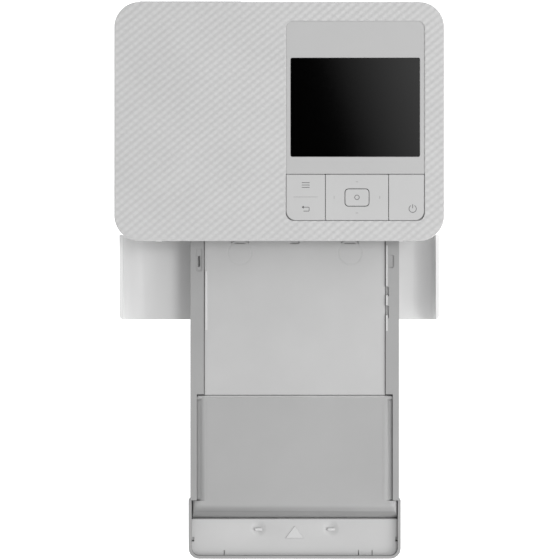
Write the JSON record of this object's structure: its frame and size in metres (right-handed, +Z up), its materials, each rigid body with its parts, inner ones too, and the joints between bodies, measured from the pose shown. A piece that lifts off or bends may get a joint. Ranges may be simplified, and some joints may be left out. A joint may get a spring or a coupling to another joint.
{
  "type": "compact photo printer",
  "caption": "Flat photo printer with a tilted-down front cover, a long paper cassette, a key panel with a screen, and a ribbon print engine inside.",
  "frame": {"origin": "centre of the footprint, on the surface the printer stands on", "axes": "+X to the printer's right, +Y to its back, +Z up"},
  "size_m": [0.1822, 0.312, 0.0576],
  "materials": {
    "shell": "fine matt",
    "cover": "matt, embossed lattice on the top",
    "key": "matt",
    "screen": "polished",
    "tray": "satin",
    "tray_cover": "satin, slightly translucent",
    "tray_lid": "satin, slightly translucent",
    "grey_plastic": "satin",
    "black_plastic": "satin",
    "rubber": "matt",
    "steel": "satin",
    "dark_metal": "satin",
    "alloy": "satin",
    "brass": "satin",
    "gear": "satin",
    "ribbon": "gloss",
    "board": "solder mask"
  },
  "bodies": {
    "root": {"bottom_case": "shell", "feet": "rubber", "case_screws": "steel", "side_shell": "shell", "top_cover": "cover", "display_bezel": "cover", "screen_lens": "screen", "lcd_module": "dark_metal", "key_board": "board", "ink_door_pins": "steel", "front_cover_pins": "steel", "chassis_left": "steel", "chassis_right": "steel", "chassis_ties": "steel", "gear_bracket": "steel", "idler_axle": "steel", "feed_motor": "dark_metal", "ribbon_motor": "dark_metal", "ink_cassette_case": "grey_plastic", "ribbon_film": "ribbon", "head_shaft": "steel", "fan_frame": "black_plastic", "main_board": "board", "usb_socket": "steel", "power_jack": "black_plastic", "card_board": "board", "card_socket": "steel"},
    "front_cover": {"front_cover": "shell"},
    "ink_door": {"ink_door": "shell"},
    "cassette": {"cassette_tray": "tray", "cassette_rear_cover": "tray_cover", "cassette_front_plate": "cover", "lift_spring": "steel"},
    "cassette_lid": {"cassette_front_lid": "tray_lid"},
    "lift_plate": {"lift_plate": "grey_plastic"},
    "menu_key": {"menu_key": "key"},
    "nav_pivot": {"nav_pivot": "grey_plastic"},
    "nav_key": {"nav_key": "key"},
    "ok_key": {"ok_key": "key"},
    "power_key": {"power_key": "key"},
    "platen": {"platen_roller": "rubber", "platen_gear": "gear"},
    "capstan": {"capstan_roller": "steel", "capstan_gear": "gear"},
    "pinch_roller": {"pinch_roller": "rubber"},
    "idler": {"idler_gear": "gear"},
    "feed_rotor": {"feed_pinion": "brass"},
    "pickup": {"pickup_roller": "rubber", "pickup_shaft": "steel"},
    "takeup": {"takeup_spool": "ribbon"},
    "ribbon_drive": {"ribbon_drive_gear": "gear"},
    "ribbon_rotor": {"ribbon_pinion": "brass"},
    "supply": {"supply_spool": "ribbon"},
    "print_head": {"thermal_head": "dark_metal", "heat_sink": "alloy", "head_arm": "steel"},
    "fan_rotor": {"fan_rotor": "black_plastic"}
  },
  "joints": [
    {"name": "front_cover_hinge", "type": "hinge", "parent": "root", "child": "front_cover", "pos_m": [0, 0.026, 0.0042], "axis": [-1, 0, 0], "range_deg": [0, 9]},
    {"name": "cassette_slide", "type": "slide", "parent": "root", "child": "cassette", "axis": [0, -1, 0], "range_m": [0, 0.1]},
    {"name": "cassette_lid_hinge", "type": "hinge", "parent": "cassette", "child": "cassette_lid", "pos_m": [0.0087, -0.0654, 0.027], "axis": [-1, 0, 0], "range_deg": [0, 105]},
    {"name": "lift_plate_hinge", "type": "hinge", "parent": "cassette", "child": "lift_plate", "pos_m": [0.0087, -0.077, 0.0152], "axis": [1, 0, 0], "range_deg": [0, 2.6]},
    {"name": "ink_door_hinge", "type": "hinge", "parent": "root", "child": "ink_door", "pos_m": [0.09, 0.1409, 0.0368], "axis": [0, 0, 1], "range_deg": [0, 90]},
    {"name": "menu_key_rock", "type": "hinge", "parent": "root", "child": "menu_key", "pos_m": [0.0145, 0.04695, 0.05495], "axis": [1, 0, 0], "range_deg": [-1.3, 1.3], "stiffness_Nm_per_rad": 0.05},
    {"name": "nav_tilt_x", "type": "hinge", "parent": "root", "child": "nav_pivot", "pos_m": [0.04285, 0.04695, 0.05495], "axis": [1, 0, 0], "range_deg": [-0.8, 0.8], "stiffness_Nm_per_rad": 0.05},
    {"name": "nav_tilt_y", "type": "hinge", "parent": "nav_pivot", "child": "nav_key", "pos_m": [0.04285, 0.04695, 0.05495], "axis": [0, 1, 0], "range_deg": [-0.8, 0.8], "stiffness_Nm_per_rad": 0.05},
    {"name": "ok_press", "type": "slide", "parent": "nav_key", "child": "ok_key", "axis": [0, 0, -1], "range_m": [0, 0.0004], "stiffness_N_per_m": 600},
    {"name": "power_press", "type": "slide", "parent": "root", "child": "power_key", "axis": [0, 0, -1], "range_m": [0, 0.0004], "stiffness_N_per_m": 600},
    {"name": "platen_spin", "type": "hinge", "parent": "root", "child": "platen", "pos_m": [0, 0.109, 0.019], "axis": [1, 0, 0], "continuous": true},
    {"name": "capstan_spin", "type": "hinge", "parent": "root", "child": "capstan", "pos_m": [0, 0.0735, 0.024], "axis": [1, 0, 0], "continuous": true},
    {"name": "pinch_spin", "type": "hinge", "parent": "root", "child": "pinch_roller", "pos_m": [0, 0.0735, 0.0301], "axis": [1, 0, 0], "continuous": true},
    {"name": "idler_spin", "type": "hinge", "parent": "root", "child": "idler", "pos_m": [0, 0.09547, 0.03379], "axis": [1, 0, 0], "continuous": true},
    {"name": "feed_rotor_spin", "type": "hinge", "parent": "root", "child": "feed_rotor", "pos_m": [0, 0.05891, 0.03243], "axis": [1, 0, 0], "continuous": true},
    {"name": "pickup_spin", "type": "hinge", "parent": "root", "child": "pickup", "pos_m": [0, 0.055, 0.0317], "axis": [1, 0, 0], "continuous": true},
    {"name": "takeup_spin", "type": "hinge", "parent": "root", "child": "takeup", "pos_m": [0, 0.128, 0.038], "axis": [1, 0, 0], "continuous": true},
    {"name": "ribbon_drive_spin", "type": "hinge", "parent": "root", "child": "ribbon_drive", "pos_m": [0, 0.128, 0.038], "axis": [1, 0, 0], "continuous": true},
    {"name": "ribbon_rotor_spin", "type": "hinge", "parent": "root", "child": "ribbon_rotor", "pos_m": [0, 0.128, 0.02115], "axis": [1, 0, 0], "continuous": true},
    {"name": "supply_spin", "type": "hinge", "parent": "root", "child": "supply", "pos_m": [0, 0.09, 0.038], "axis": [1, 0, 0], "continuous": true},
    {"name": "head_lift", "type": "hinge", "parent": "root", "child": "print_head", "pos_m": [0.0087, 0.14, 0.0496], "axis": [-1, 0, 0], "range_deg": [0, 3]},
    {"name": "fan_spin", "type": "hinge", "parent": "root", "child": "fan_rotor", "pos_m": [-0.0614, 0.1428, 0.0352], "axis": [0, 1, 0], "continuous": true}
  ],
  "couplings": [
    {"joint": "idler_spin", "follows": "platen_spin", "ratio": -0.66667},
    {"joint": "capstan_spin", "follows": "platen_spin", "ratio": 0.66667},
    {"joint": "pinch_spin", "follows": "platen_spin", "ratio": -0.66667},
    {"joint": "feed_rotor_spin", "follows": "platen_spin", "ratio": -1.6667},
    {"joint": "ribbon_drive_spin", "follows": "takeup_spin", "ratio": 1},
    {"joint": "ribbon_rotor_spin", "follows": "takeup_spin", "ratio": -2.5},
    {"joint": "supply_spin", "follows": "takeup_spin", "ratio": 0.66667}
  ]
}
